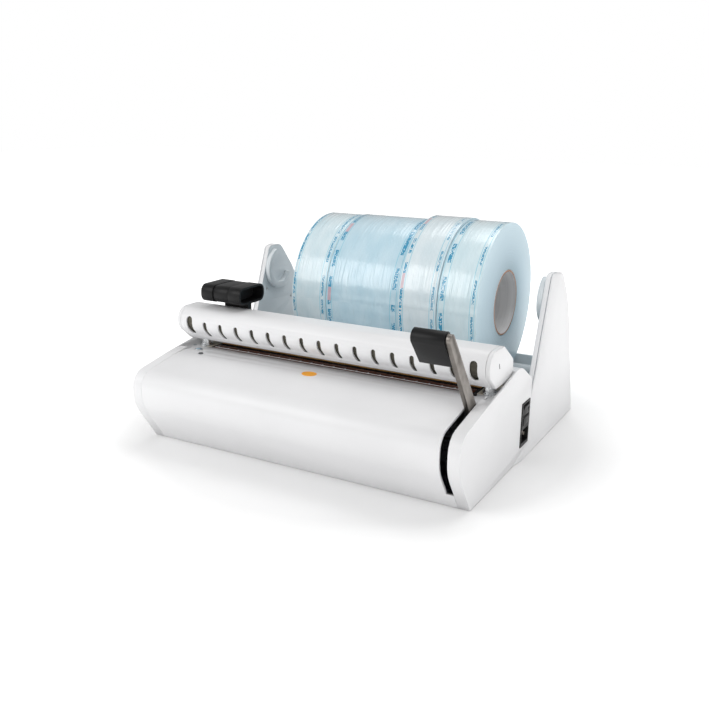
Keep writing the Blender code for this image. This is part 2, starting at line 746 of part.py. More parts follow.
def cam(side, sign):
    """Spiral cam: its reach below the shaft grows by the bar's stroke over the lever's swing."""
    growth = BAR_STROKE / radians(LEVER_SWING)
    steps = 16
    outline = []
    for step in range(steps + 1):
        swing = radians(LEVER_SWING + 12.0) * step / steps
        reach = CAM_R + growth * swing
        outline.append((PIVOT_Y - reach * sin(swing), PIVOT_Z - reach * cos(swing)))
    outline += arc((PIVOT_Y, PIVOT_Z), CAM_R - 0.001, 90.0, -80.0, 10)
    x = span(sign, CAM_X - CAM_THICK / 2, CAM_X + CAM_THICK / 2)
    return plate(side + "_cam", outline, *x, STEEL, CUTTERS)


def hang(obj, parent):
    """Parent a piece to its joint's empty without moving it."""
    obj.parent = parent
    obj.matrix_parent_inverse = Matrix.Translation(-parent.location)


# ---------------------------------------------------------------- pressing bar and cutter
def capsule(x, half_width, low, high):
    """Upright slot with round ends, drawn in X and Z as seen from behind."""
    ends = arc((-x, high - half_width), half_width, 0.0, 180.0, 6)
    ends += arc((-x, low + half_width), half_width, 180.0, 360.0, 6)
    return ends


def pressing_bar():
    body = bpy.data.objects.new("bar_slide", None)
    body.location = world_point(0.0, POST_Y, BAR_BOTTOM_Z)
    PARTS.objects.link(body)
    outer = bar_outline()
    reach = BAR_HALF - CAP_LENGTH
    slot = (CUT_Y - CUT_SLOT / 2, CUT_Y + CUT_SLOT / 2)
    front = plate("bar_front_cover", outer, -reach, reach, WHITE)
    rear = plate("bar_rear_cover", outer, -reach, reach, WHITE)
    for cover, name, y in ((front, "front", (slot[0], 1.0)), (rear, "rear", (-1.0, slot[1]))):
        cut(cover, plate(name + "_bar_hollow", inset(outer, BAR_WALL), -1.0, 1.0, BLACK, CUTTERS))
        cut(cover, cutter_box(name + "_bar_half", (-1, 1), y, (0.0, 0.3)))
    bottom = (BAR_BOTTOM_Z - 0.01, BAR_BOTTOM_Z + BAR_WALL + 0.001)
    cut(front, cutter_box("front_bar_mouth", (-1, 1), (0.0710, 0.2), bottom))
    cut(rear, cutter_box("rear_bar_mouth", (-1, 1), (0.0, 0.1060), bottom))
    first = -(SLOT_COUNT - 1) * SLOT_PITCH / 2
    for index in range(SLOT_COUNT):
        shape = capsule(first + index * SLOT_PITCH, SLOT_WIDTH / 2, SLOT_LOW_Z, SLOT_HIGH_Z)
        cut(front, plate("vent_%02d" % index, shape, 0.030, 0.0610, BLACK, CUTTERS, "Y"))
    for side, sign in sides():
        shape = capsule(sign * END_SLOT_X, END_SLOT_WIDTH / 2, SLOT_LOW_Z + 0.0015, SLOT_HIGH_Z + 0.0046)
        cut(front, plate(side + "_end_vent", shape, 0.030, 0.0610, BLACK, CUTTERS, "Y"))
    beam = plate("press_beam", inset(outer, BAR_WALL + GAP), -reach + GAP, reach - GAP, DARK)
    cut(beam, cutter_box("blade_channel", (-JAW_HALF, JAW_HALF), slot, (0.0, 0.3)))
    low = BAR_BOTTOM_Z + BAR_WALL + GAP
    pad_z = (BAR_BOTTOM_Z - PAD_DEPTH, low - GAP)
    clamp = box("clamp_pad", (-0.1650, 0.1650), (CUT_Y - 0.0140, CUT_Y - 0.0050), pad_z, SILICONE)
    seal = box("seal_pad", (-0.1730, 0.1730), (SEAL_Y - 0.0027, SEAL_Y + 0.0060), pad_z, SILICONE)
    pieces = [front, rear, beam, clamp, seal]
    for side, sign in sides():
        cap = plate(side + "_bar_cap", outer, *span(sign, reach + GAP, BAR_HALF), WHITE)
        round_edges(cap, 0.0010, 2, 60.0)
        tongue_x = span(sign, reach - TONGUE, reach + 0.001)
        tongue = plate(side + "_cap_tongue", outer, *tongue_x, WHITE, CUTTERS)
        cut(tongue, plate(side + "_tongue_hollow", inset(outer, BAR_WALL), -1.0, 1.0, BLACK, CUTTERS))
        slot_room = (slot[0] + GAP, slot[1] - GAP)
        strip = cutter_box(side + "_tongue_strip", (-1, 1), slot_room, (BAR_BOTTOM_Z + 0.01, 0.3))
        boolean(tongue, strip, "INTERSECT")
        join(cap, tongue)
        pieces.append(cap)
        yoke_top = PIVOT_Z - CAM_R - CAM_LEAD
        height = low - GAP - (yoke_top - 0.0040)
        centre = (sign * POST_X, POST_Y, low - GAP - height / 2)
        post = rod(side + "_guide_post", centre, POST_R, height, "Z", STEEL)
        yoke_x = span(sign, CAM_X - CAM_THICK / 2 - 0.001, POST_X + 0.0030)
        yoke_y = (PIVOT_Y - 0.0080, POST_Y + 0.0040)
        join(post, cutter_box(side + "_yoke", yoke_x, yoke_y, (yoke_top - 0.0040, yoke_top)))
        pieces.append(post)
        bush_at = (sign * POST_X, POST_Y, DECK_Z - 0.0048)
        bush = rod(side + "_guide_bush", bush_at, BUSH_R, 0.0150, "Z", STEEL)
        bore = rod(side + "_bush_bore", bush_at, POST_R + GAP, 0.1, "Z", BLACK, CUTTERS)
        cut(bush, bore)
    for obj in pieces:
        hang(obj, body)
    return body


def cutter(bar_body):
    """Sliding cutter: a hollow knob above the bar, its carriage in the bar's slot and the blade."""
    body = bpy.data.objects.new("cutter_slide", None)
    body.location = world_point(KNOB_X, CUT_Y, BAR_TOP_Z)
    PARTS.objects.link(body)
    low = BAR_TOP_Z + KNOB_LIFT
    high = low + KNOB_HEIGHT
    middle = CUT_Y - 0.0060
    shape = rounded(
        [
            (middle - KNOB_DEPTH / 2, low, 0.0085),
            (middle + KNOB_DEPTH / 2, low, 0.0085),
            (middle + KNOB_DEPTH / 2, high, 0.0095),
            (middle - KNOB_DEPTH / 2, high, 0.0095),
        ],
        5,
    )
    knob = plate("cutter_knob", shape, KNOB_X - KNOB_LENGTH / 2, KNOB_X + KNOB_LENGTH / 2, BLACK)
    round_edges(knob, 0.0012, 2, 60.0)
    end = KNOB_X + KNOB_LENGTH / 2
    cut(knob, plate("knob_hollow", inset(shape, 0.0024), end - 0.0400, end + 0.01, BLACK, CUTTERS))
    carriage_x = (KNOB_X - 0.0145, KNOB_X + 0.0205)
    carriage_y = (CUT_Y - CUT_SLOT / 2 + 0.0005, CUT_Y + CUT_SLOT / 2 - 0.0005)
    carriage = box("cutter_carriage", carriage_x, carriage_y, (0.1120, low - GAP), BLACK)
    blade_outline = [
        (-(KNOB_X + 0.0140), 0.1117),
        (-(KNOB_X - 0.0080), 0.1117),
        (-(KNOB_X + 0.0030), 0.1010),
    ]
    blade = plate("cutter_blade", blade_outline, CUT_Y - 0.0003, CUT_Y + 0.0003, BRUSHED, axis="Y")
    for obj in (knob, carriage, blade):
        hang(obj, body)
    hang(body, bar_body)


# ---------------------------------------------------------------- reel stand
SUPPORT_CORNERS = [             # y, z, radius and how far the outer face's corner stands back
    (0.1272, FOOT_LIFT, 0.0, 0.0180),
    (BODY_REAR_Y + 0.0006, TRAY_Z - 0.0004, 0.0065, 0.0150),
    (BODY_REAR_Y + 0.0006, 0.0680, 0.0300, 0.0160),
    (0.1930, 0.0900, 0.0300, 0.0160),
    (0.2060, 0.1270, 0.2000, 0.0160),
    (0.2330, SUPPORT_TOP_Z, 0.0080, 0.0135),
    (0.2600, SUPPORT_TOP_Z, 0.0160, 0.0),
    (0.2910, 0.1640, 0.0600, 0.0),
    (0.3060, 0.1330, 0.2000, 0.0),
    (STAND_BACK_Y - 0.0040, 0.0160, 0.0100, 0.0),
    (STAND_BACK_Y, FOOT_LIFT, 0.0, 0.0),
]


def support_outline(share):
    """Side view of a support, with its front corners standing back by a share of their set-back."""
    return rounded([(y + back * share, z, radius) for y, z, radius, back in SUPPORT_CORNERS], 5)


def loft(name, rings, skin):
    """Skin of flat triangles through rings of equal length, closed at both ends."""
    work = bmesh.new()
    loops = [[work.verts.new(point) for point in ring] for ring in rings]
    count = len(rings[0])
    for lower, upper in zip(loops, loops[1:]):
        for index in range(count):
            following = (index + 1) % count
            work.faces.new((lower[index], lower[following], upper[following]))
            work.faces.new((lower[index], upper[following], upper[index]))
    work.faces.new(loops[0])
    work.faces.new(loops[-1])
    bmesh.ops.recalc_face_normals(work, faces=work.faces)
    if work.calc_volume(signed=True) < 0:
        bmesh.ops.reverse_faces(work, faces=work.faces)
    return add_mesh(name, work, skin)


def supports():
    for side, sign in sides():
        inner_x = span(sign, SUPPORT_INNER, SUPPORT_SPLIT - GAP)
        inner = plate(side + "_support_inner", support_outline(0.0), *inner_x, GREY_WHITE)
        body_room = (0.0, BODY_REAR_Y + 0.0012)
        cut(inner, cutter_box(side + "_inner_front", (-1, 1), body_room, (-0.1, 0.5)))
        for index, (y, z) in enumerate(PEG_HOLES):
            name = "%s_peg_hole_%d" % (side, index)
            cut(inner, rod(name, (sign * 0.2, y, z), PEG_HOLE_R, 0.04, "X", BLACK, CUTTERS, 12))
        for index, y in enumerate((REEL_Y - ROLLER_OFFSET, REEL_Y + ROLLER_OFFSET)):
            name = "%s_journal_%d" % (side, index)
            seat = rod(name, (sign * 0.2, y, ROLLER_Z), JOURNAL_R + GAP, 0.04, "X", BLACK, CUTTERS, 24)
            cut(inner, seat)
        levels = (
            (SUPPORT_SPLIT + GAP, 0.0),
            (SUPPORT_SPLIT + 0.0022, 0.0),
            (STAND_HALF, 1.0),
        )
        rings = []
        for x, share in levels:
            rings.append([world_point(sign * x, y, z) for y, z in support_outline(share)])
        loft(side + "_support_outer", rings, WHITE)
        cup_x = span(sign, SUPPORT_INNER - CUP_DEPTH, SUPPORT_INNER - GAP)
        cup = plate(side + "_cradle_cup", cup_outline(), *cup_x, GREY_WHITE)
        round_edges(cup, 0.0012, 2, 60.0)


def cup_outline():
    """Open ring that a spindle could drop into from above and behind."""
    ring = arc((CUP_Y, CUP_Z), CUP_R, 108.0, 338.0, 18)
    return ring + arc((CUP_Y, CUP_Z), CUP_BORE_R, 338.0, 108.0, 14)


ROLLER_Z = REEL_Z - sqrt((NOMINAL_REEL_R + ROLLER_R + GAP) ** 2 - ROLLER_OFFSET**2)
JOURNAL_R = 0.0040


def tray():
    reach = SUPPORT_INNER - GAP
    y = (BODY_REAR_Y + 0.0014, STAND_BACK_Y - 0.0060)
    base = box("stand_tray", (-reach, reach), y, (BASE_LOW, TRAY_Z + 0.0140), WHITE)
    inner_y = (y[0] + 0.003, y[1] - 0.003)
    pocket = cutter_box("tray_pocket", (-reach + 0.003, reach - 0.003), inner_y, (BASE_LOW + 0.0030, 0.2))
    cut(base, pocket)
    panel_z = (BASE_LOW + 0.0030 + GAP, BACK_PANEL_Z)
    panel_x = (-reach + 0.0034, reach - 0.0034)
    box("stand_back_panel", panel_x, (BACK_PANEL_Y, BACK_PANEL_Y + 0.0030), panel_z, GREY_WHITE)


def rollers():
    body = SUPPORT_INNER - 0.0015
    tip = SUPPORT_SPLIT - GAP
    for name, offset in (("front_roller", -ROLLER_OFFSET), ("rear_roller", ROLLER_OFFSET)):
        profile = [
            (tip, 0.0),
            (tip, JOURNAL_R),
            (body, JOURNAL_R),
            (body, ROLLER_R),
            (-body, ROLLER_R),
            (-body, JOURNAL_R),
            (-tip, JOURNAL_R),
            (-tip, 0.0),
        ]
        turned(name, profile, (0.0, REEL_Y + offset, ROLLER_Z), GREY_WHITE, facets=24)


def reels():
    """Four reels lying side by side on the rollers, each film wound on its own cardboard core."""
    x = REEL_START_X
    for name, width, radius in REELS:
        z = ROLLER_Z + sqrt((radius + ROLLER_R + GAP) ** 2 - ROLLER_OFFSET**2)
        low = x + GAP
        high = x + width - GAP
        tube("reel_%s_core" % name, (low, high), CORE_R, CORE_BORE_R, (REEL_Y, z), CARDBOARD)
        tube("reel_%s_film" % name, (low, high), radius, CORE_R + GAP, (REEL_Y, z), FILM, 0.0006, 40)
        x += width


# ---------------------------------------------------------------- build
def build():
    front_cover()
    for side, sign in sides():
        cheek(side, sign)
    rear_cover()
    chassis()
    feet()
    jaw()
    comb()
    ledge_plates()
    lamps()
    inlet()
    internals()
    lever()
    cutter(pressing_bar())
    supports()
    tray()
    rollers()
    reels()


build()
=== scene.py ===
from math import atan2, cos, pi, radians, sin

import bpy
from mathutils import Matrix, Vector


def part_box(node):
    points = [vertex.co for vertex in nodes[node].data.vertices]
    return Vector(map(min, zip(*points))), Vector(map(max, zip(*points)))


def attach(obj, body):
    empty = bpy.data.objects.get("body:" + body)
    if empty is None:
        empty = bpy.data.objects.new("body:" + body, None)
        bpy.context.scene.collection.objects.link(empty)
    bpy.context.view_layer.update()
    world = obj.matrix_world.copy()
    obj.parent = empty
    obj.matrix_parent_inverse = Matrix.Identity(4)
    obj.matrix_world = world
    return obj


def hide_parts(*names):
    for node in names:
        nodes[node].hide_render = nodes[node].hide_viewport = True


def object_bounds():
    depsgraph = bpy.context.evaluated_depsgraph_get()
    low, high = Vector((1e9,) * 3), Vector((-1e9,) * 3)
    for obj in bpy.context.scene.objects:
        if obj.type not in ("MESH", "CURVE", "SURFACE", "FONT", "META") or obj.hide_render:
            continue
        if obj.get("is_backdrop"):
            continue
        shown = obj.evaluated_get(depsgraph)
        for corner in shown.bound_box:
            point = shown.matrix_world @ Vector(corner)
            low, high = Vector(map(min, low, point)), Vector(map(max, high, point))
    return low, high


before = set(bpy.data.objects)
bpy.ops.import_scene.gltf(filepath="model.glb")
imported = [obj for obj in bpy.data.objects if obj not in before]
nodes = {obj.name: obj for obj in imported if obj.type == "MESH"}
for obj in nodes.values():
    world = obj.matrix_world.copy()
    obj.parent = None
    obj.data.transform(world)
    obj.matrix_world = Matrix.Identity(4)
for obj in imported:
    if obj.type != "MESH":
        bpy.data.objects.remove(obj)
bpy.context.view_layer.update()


# ---------------------------------------------------------------- studio
# A pale seamless floor and a soft sky, with a large softbox in front on the left, a broad
# light overhead and a third on the lever side.  The floor glows more away from the machine,
# which is painted light, and less near it, which is painted shade round the machine.  The camera
# stands in front on the right and looks slightly down.
def srgb(code):
    """Linear colour of an sRGB hex value."""
    channels = [int(code[place:place + 2], 16) / 255 for place in (1, 3, 5)]
    linear = [c / 12.92 if c <= 0.04045 else ((c + 0.055) / 1.055) ** 2.4 for c in channels]
    return (*linear, 1.0)


def add_node(tree, kind, inputs=None, stops=(), **settings):
    """A shader node with its settings, its sockets' values or links and its ramp's stops."""
    made = tree.nodes.new("ShaderNode" + kind)
    for name, value in settings.items():
        setattr(made, name, value)
    for socket, value in (inputs or {}).items():
        if isinstance(value, bpy.types.NodeSocket):
            tree.links.new(value, made.inputs[socket])
        else:
            made.inputs[socket].default_value = value
    for index, (position, colour) in enumerate(stops):
        ramp = made.color_ramp.elements
        stop = ramp[index] if index < 2 else ramp.new(position)
        stop.position = position
        stop.color = colour
    return made


def new_material(name):
    made = bpy.data.materials.new(name)
    made.use_nodes = True
    return made, made.node_tree, made.node_tree.nodes["Principled BSDF"]


FLOOR_SIZE = 12.0
SKY_LOW = 0.44
SKY_HIGH = 0.54
floor_paint, tree, shader = new_material("white_floor_painted_glow_and_shade")
place = add_node(tree, "TexCoord")
reach = add_node(tree, "VectorMath", {0: place.outputs["Object"]}, operation="LENGTH")
# The floor glows more the farther it lies from the machine: painted light that keeps the far floor white, and
# a weaker glow near the machine that leaves the floor darker there as painted shade.
glow = add_node(tree, "MapRange", {"Value": reach.outputs["Value"], "From Min": 0.26, "From Max": 0.48,
                                   "To Min": 0.02, "To Max": 0.65})
shader.inputs["Base Color"].default_value = srgb("#f6f6f6")
shader.inputs["Roughness"].default_value = 0.9
shader.inputs["Specular IOR Level"].default_value = 0.1
shader.inputs["Emission Color"].default_value = (1.0, 1.0, 1.0, 1.0)
tree.links.new(glow.outputs["Result"], shader.inputs["Emission Strength"])
bpy.ops.object.select_all(action="DESELECT")
bpy.ops.mesh.primitive_plane_add(size=FLOOR_SIZE, location=(0.0, 0.0, 0.0))
floor = bpy.context.object
floor.name = "studio_floor"
floor.data.materials.append(floor_paint)
floor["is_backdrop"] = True

world = bpy.data.worlds.new("soft_sky")
world.use_nodes = True
tree = world.node_tree
tree.nodes.clear()
place = add_node(tree, "TexCoord")
height = add_node(tree, "SeparateXYZ", {"Vector": place.outputs["Generated"]})
lift = add_node(tree, "MapRange", {"Value": height.outputs["Z"], "From Min": 0.0, "From Max": 1.0,
                                   "To Min": SKY_LOW, "To Max": SKY_HIGH})
seen = add_node(tree, "LightPath")
level = add_node(tree, "Mix", {0: seen.outputs["Is Camera Ray"], 2: lift.outputs["Result"], 3: 1.0})
sky = add_node(tree, "Background", {"Color": (1.0, 1.0, 1.0, 1.0), "Strength": level.outputs[0]})
add_node(tree, "OutputWorld", {"Surface": sky.outputs["Background"]})
bpy.context.scene.world = world
bpy.context.scene.view_settings.view_transform = "Standard"


def softbox(name, place, aim, size, watts):
    """A rectangular area light at a point, facing another point."""
    bpy.ops.object.light_add(type="AREA", location=place)
    light = bpy.context.object
    light.name = name
    light.data.shape = "RECTANGLE"
    light.data.size = size[0]
    light.data.size_y = size[1]
    light.data.energy = watts
    light.rotation_euler = (Vector(aim) - Vector(place)).to_track_quat("-Z", "Y").to_euler()


softbox("front_softbox", (-0.757, -1.21, 0.93), (0.0, 0.1, 0.157), (1.2, 0.95), 10.0)
softbox("side_softbox", (1.5, -0.3, 0.6), (0.0, 0.0, 0.1), (1.0, 1.0), 4.0)
softbox("overhead_softbox", (0.25, 0.60, 1.8), (0.0, 0.0, 0.1), (1.6, 1.0), 11.0)

LENS = 42.95
CAMERA_PLACE = (0.4715, -0.8787, 0.3791)
AZIMUTH = radians(29.046)
ELEVATION = radians(16.021)
ROLL = radians(0.663)
ahead = Vector((-sin(AZIMUTH) * cos(ELEVATION), cos(AZIMUTH) * cos(ELEVATION), -sin(ELEVATION)))
level_right = Vector((cos(AZIMUTH), sin(AZIMUTH), 0.0))
level_up = level_right.cross(ahead)
right = level_right * cos(ROLL) + level_up * sin(ROLL)
up = level_up * cos(ROLL) - level_right * sin(ROLL)
bpy.ops.object.camera_add()
camera = bpy.context.object
camera.data.lens = LENS
camera.data.clip_start = 0.01
turn = Matrix((right, up, -ahead)).transposed().to_4x4()
turn.translation = CAMERA_PLACE
camera.matrix_world = turn
bpy.context.scene.camera = camera


# ---------------------------------------------------------------- chassis and feet
# Folded and zinc plated sheet steel carries everything; four rubber discs under it keep the
# covers just clear of the bench.  Zinc plate shows a faint blue-grey cloud from the bath.
def plated_steel(name, light, dark, roughness, streak, turn=(0.0, 0.0, 0.0)):
    """Bright metal: a cloud of two tones, and fine marks drawn out along the X axis.

    A turn picks another part of the noise; it does not change the marks' direction.
    """
    made, tree, shader = new_material(name)
    place = add_node(tree, "TexCoord")
    cloud = add_node(tree, "TexNoise", {"Vector": place.outputs["Object"], "Scale": 60.0, "Detail": 4.0})
    tones = ((0.3, srgb(dark)), (0.7, srgb(light)))
    tone = add_node(tree, "ValToRGB", {"Fac": cloud.outputs["Fac"]}, stops=tones)
    drawn = add_node(tree, "Mapping", {"Vector": place.outputs["Object"], "Rotation": turn,
                                       "Scale": (40.0, 1 / streak, 1 / streak)})
    marks = add_node(tree, "TexNoise", {"Vector": drawn.outputs["Vector"], "Scale": 1.0, "Detail": 5.0})
    gloss = add_node(tree, "MapRange", {"Value": marks.outputs["Fac"], "From Min": 0.3, "From Max": 0.7,
                                        "To Min": roughness - 0.08, "To Max": roughness + 0.12})
    relief = add_node(tree, "Bump", {"Height": marks.outputs["Fac"], "Strength": 0.35, "Distance": 0.00004})
    tree.links.new(tone.outputs["Color"], shader.inputs["Base Color"])
    tree.links.new(gloss.outputs["Result"], shader.inputs["Roughness"])
    tree.links.new(relief.outputs["Normal"], shader.inputs["Normal"])
    shader.inputs["Metallic"].default_value = 1.0
    return made


def moulded(name, light, dark, roughness, grain, depth):
    """Injection moulded plastic or rubber: nearly even colour and a fine spark-eroded grain."""
    made, tree, shader = new_material(name)
    place = add_node(tree, "TexCoord")
    cloud = add_node(tree, "TexNoise", {"Vector": place.outputs["Object"], "Scale": 14.0, "Detail": 3.0})
    tones = ((0.3, srgb(dark)), (0.7, srgb(light)))
    tone = add_node(tree, "ValToRGB", {"Fac": cloud.outputs["Fac"]}, stops=tones)
    fine = add_node(tree, "TexNoise", {"Vector": place.outputs["Object"], "Scale": 1 / grain, "Detail": 3.0})
    gloss = add_node(tree, "MapRange", {"Value": fine.outputs["Fac"], "From Min": 0.3, "From Max": 0.7,
                                        "To Min": roughness - 0.05, "To Max": roughness + 0.07})
    relief = add_node(tree, "Bump", {"Height": fine.outputs["Fac"], "Strength": 0.4, "Distance": depth})
    tree.links.new(tone.outputs["Color"], shader.inputs["Base Color"])
    tree.links.new(gloss.outputs["Result"], shader.inputs["Roughness"])
    tree.links.new(relief.outputs["Normal"], shader.inputs["Normal"])
    shader.inputs["IOR"].default_value = 1.52
    return made


def paint(material, *names):
    """Give CAD nodes that stay their detailed material."""
    for name in names:
        nodes[name].data.materials.clear()
        nodes[name].data.materials.append(material)


ZINC = plated_steel("zinc_plated_steel", "#c9cdd0", "#a9aeb2", 0.32, 0.0009)
RUBBER = moulded("moulded_black_rubber", "#232324", "#1b1b1c", 0.8, 0.0006, 0.00008)
paint(ZINC, "chassis", "jaw_carrier", "transformer")
paint(RUBBER, "foot_front_left", "foot_front_right", "foot_rear_left", "foot_rear_right")


# ---------------------------------------------------------------- covers
# The front cover, two cheeks and the rear cover are satin white ABS mouldings.  The front
# cover rolls over a round nose, and a slot beside the right cheek lets the lever swing.
def deselect():
    if bpy.context.object and bpy.context.object.mode == "EDIT":
        bpy.ops.object.mode_set(mode="OBJECT")
    bpy.ops.object.select_all(action="DESELECT")


def finish_piece(piece, material, body, replaced=(), angle=35.0):
    """Shade a piece, give it its material, hang it on its body and hide the CAD nodes it replaces."""
    piece.data.materials.clear()
    piece.data.materials.append(material)
    deselect()
    piece.select_set(True)
    bpy.context.view_layer.objects.active = piece
    bpy.ops.object.transform_apply(location=True, rotation=True, scale=True)
    bpy.ops.object.shade_smooth_by_angle(angle=radians(angle))
    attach(piece, body)
    if replaced:
        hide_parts(*replaced)
    return piece


def apply_modifiers(piece):
    deselect()
    piece.select_set(True)
    bpy.context.view_layer.objects.active = piece
    for modifier in list(piece.modifiers):
        bpy.ops.object.modifier_apply(modifier=modifier.name)


def rounded_edges(piece, width, segments=3, angle=40.0):
    """Radius every edge sharper than an angle."""
    rounding = piece.modifiers.new("radius", "BEVEL")
    rounding.width = width
    rounding.segments = segments
    rounding.limit_method = "ANGLE"
    rounding.angle_limit = radians(angle)
    apply_modifiers(piece)
    return piece


def refined(node, name, width=0.0, segments=3, angle=40.0):
    """A merged copy of a CAD solid, with its moulded or deburred edges radiused."""
    piece = bpy.data.objects.new(name, nodes[node].data.copy())
    bpy.context.scene.collection.objects.link(piece)
    deselect()
    piece.select_set(True)
    bpy.context.view_layer.objects.active = piece
    bpy.ops.object.mode_set(mode="EDIT")
    bpy.ops.mesh.select_all(action="SELECT")
    bpy.ops.mesh.remove_doubles(threshold=0.000002)
    bpy.ops.mesh.dissolve_limited(angle_limit=radians(0.6))
    bpy.ops.object.mode_set(mode="OBJECT")
    if width:
        rounded_edges(piece, width, segments, angle)
    return piece


WHITE = moulded("satin_white_abs", "#e6e6e7", "#e2e2e3", 0.36, 0.0007, 0.00003)
for node, name, width in (
    ("front_cover", "front_cover_shell", 0.0006),
    ("left_cheek", "left_cheek_shell", 0.0),
    ("right_cheek", "right_cheek_shell", 0.0),
    ("rear_cover", "rear_cover_shell", 0.0006),
):
    finish_piece(refined(node, name, width), WHITE, "machine", [node])


# ---------------------------------------------------------------- deck fittings
# A ringed screw and a black rest buffer at the deck's right end, a small screw in each
# ledge, and a plain amber oval label in the middle.
BLACK = moulded("black_moulded_abs", "#101011", "#0a0a0b", 0.40, 0.0008, 0.00004)
BLACK.node_tree.nodes["Principled BSDF"].inputs["Specular IOR Level"].default_value = 0.22
AMBER = moulded("amber_printed_foil", "#ffae00", "#f7a200", 0.35, 0.0012, 0.00002)
FRONT_EDGE_Y = -0.15652         # front edge of the base
LEDGE_MIDDLE_Y = FRONT_EDGE_Y + 0.072
LEDGE_SCREW_X = 0.1975
RING_SCREW_SPOT = (0.1770, FRONT_EDGE_Y + 0.055)
BUFFER_SPOT = (0.1765, FRONT_EDGE_Y + 0.0665)
LABEL_SPOT = (-0.008, FRONT_EDGE_Y + 0.038)
LABEL_STRETCH = 1.28            # width of the oval against its height


def seated(name, host, x, y, radius, height, sunk=0.0004, stretch=1.0):
    """A disc standing on a piece, square to its surface, where a line straight down meets it."""
    down = Vector((0.0, 0.0, -1.0))
    _, place, normal, _ = bpy.data.objects[host].ray_cast(Vector((x, y, 1.0)), down)
    deselect()
    middle = place + normal * (height - sunk) / 2
    bpy.ops.mesh.primitive_cylinder_add(vertices=40, radius=radius, depth=height + sunk, location=middle)
    piece = bpy.context.object
    piece.name = name
    piece.scale = (stretch, 1.0, 1.0)
    piece.rotation_mode = "QUATERNION"
    piece.rotation_quaternion = Vector((0.0, 0.0, 1.0)).rotation_difference(normal)
    return piece


def recess(piece, rim, depth):
    """Sink the top of an upright disc inside a rim."""
    bpy.ops.object.mode_set(mode="EDIT")
    bpy.ops.mesh.select_mode(type="FACE")
    bpy.ops.mesh.select_all(action="DESELECT")
    bpy.ops.object.mode_set(mode="OBJECT")
    for face in piece.data.polygons:
        face.select = face.normal.z > 0.9
    bpy.ops.object.mode_set(mode="EDIT")
    bpy.ops.mesh.inset(thickness=rim)
    bpy.ops.transform.translate(value=(0.0, 0.0, -depth))
    bpy.ops.mesh.inset(thickness=rim * 0.7)
    bpy.ops.transform.translate(value=(0.0, 0.0, depth * 0.6))
    bpy.ops.object.mode_set(mode="OBJECT")
    return piece


screw = seated("ring_screw", "front_cover_shell", *RING_SCREW_SPOT, 0.0036, 0.0008)
finish_piece(recess(screw, 0.0009, 0.0007), ZINC, "machine")
buffer = seated("rest_buffer", "front_cover_shell", *BUFFER_SPOT, 0.0026, 0.0024)
finish_piece(rounded_edges(buffer, 0.0006), BLACK, "machine")
for side, sign in (("left", -1.0), ("right", 1.0)):
    spot = (sign * LEDGE_SCREW_X, LEDGE_MIDDLE_Y)
    fixing = seated(side + "_ledge_screw", side + "_cheek_shell", *spot, 0.0021, 0.0006)
    finish_piece(recess(fixing, 0.0006, 0.0005), ZINC, "machine")
label = seated("amber_label", "front_cover_shell", *LABEL_SPOT, 0.0070, 0.0002, 0.0006, LABEL_STRETCH)
finish_piece(label, AMBER, "machine")


# ---------------------------------------------------------------- sealing jaw
# A black phenolic bar carries the bronze heating strip and a strip of brown PTFE-coated
# glass cloth.  A white comb of small teeth holds the film flat along the deck's edge.
PHENOLIC = moulded("machined_black_phenolic", "#15110f", "#0c0908", 0.5, 0.0011, 0.00006)
BRONZE = plated_steel("rolled_bronze_strip", "#e0ab6c", "#b58249", 0.30, 0.0006)

PTFE, tree, shader = new_material("brown_ptfe_glass_cloth")
THREAD = 0.0012                 # drawn three times coarser than the cloth's own 0.4 mm thread
place = add_node(tree, "TexCoord")
threads = {"Vector": place.outputs["Object"], "Scale": 0.314 / THREAD, "Distortion": 0.6}
warp = add_node(tree, "TexWave", threads, bands_direction="X")
weft = add_node(tree, "TexWave", threads, bands_direction="Y")
weave = add_node(tree, "Math", {0: warp.outputs["Fac"], 1: weft.outputs["Fac"]}, operation="MULTIPLY")
stain = add_node(tree, "TexNoise", {"Vector": place.outputs["Object"], "Scale": 45.0, "Detail": 5.0})
shade = add_node(tree, "Math", {0: weave.outputs["Value"], 1: stain.outputs["Fac"]}, operation="MULTIPLY")
browns = ((0.05, srgb("#6a3720")), (0.55, srgb("#a8663f")))
tone = add_node(tree, "ValToRGB", {"Fac": shade.outputs["Value"]}, stops=browns)
relief = add_node(tree, "Bump", {"Height": weave.outputs["Value"], "Strength": 0.6, "Distance": 0.0001})
tree.links.new(tone.outputs["Color"], shader.inputs["Base Color"])
tree.links.new(relief.outputs["Normal"], shader.inputs["Normal"])
shader.inputs["Roughness"].default_value = 0.38

CREAM = moulded("cream_polyamide", "#e0d9cb", "#d5cdbd", 0.55, 0.0008, 0.00004)
paint(PHENOLIC, "jaw_insulator")
strip = refined("heating_band", "heating_strip", 0.0002, 2)
finish_piece(strip, BRONZE, "machine", ["heating_band"])
finish_piece(refined("ptfe_cloth", "release_cloth", 0.0002, 2), PTFE, "machine", ["ptfe_cloth"])
finish_piece(refined("film_comb", "comb_strip", 0.0002, 2), WHITE, "machine", ["film_comb"])
for side in ("left", "right"):
    node = side + "_ledge_plate"
    finish_piece(refined(node, side + "_ledge_insert", 0.0004), CREAM, "machine", [node])


# ---------------------------------------------------------------- guides
# Turned steel bushes in the ledges guide the bar's two posts.  Both are
# brighter and smoother than the zinc plated parts.
TURNED = plated_steel("bright_turned_steel", "#eceeef", "#d5d8da", 0.24, 0.0007, (0.0, pi / 2, 0.0))
for side in ("left", "right"):
    node = side + "_guide_bush"
    finish_piece(refined(node, side + "_bush_ring", 0.0004), TURNED, "machine", [node])
    node = side + "_guide_post"
    finish_piece(refined(node, side + "_post", 0.0003), TURNED, "bar", [node])


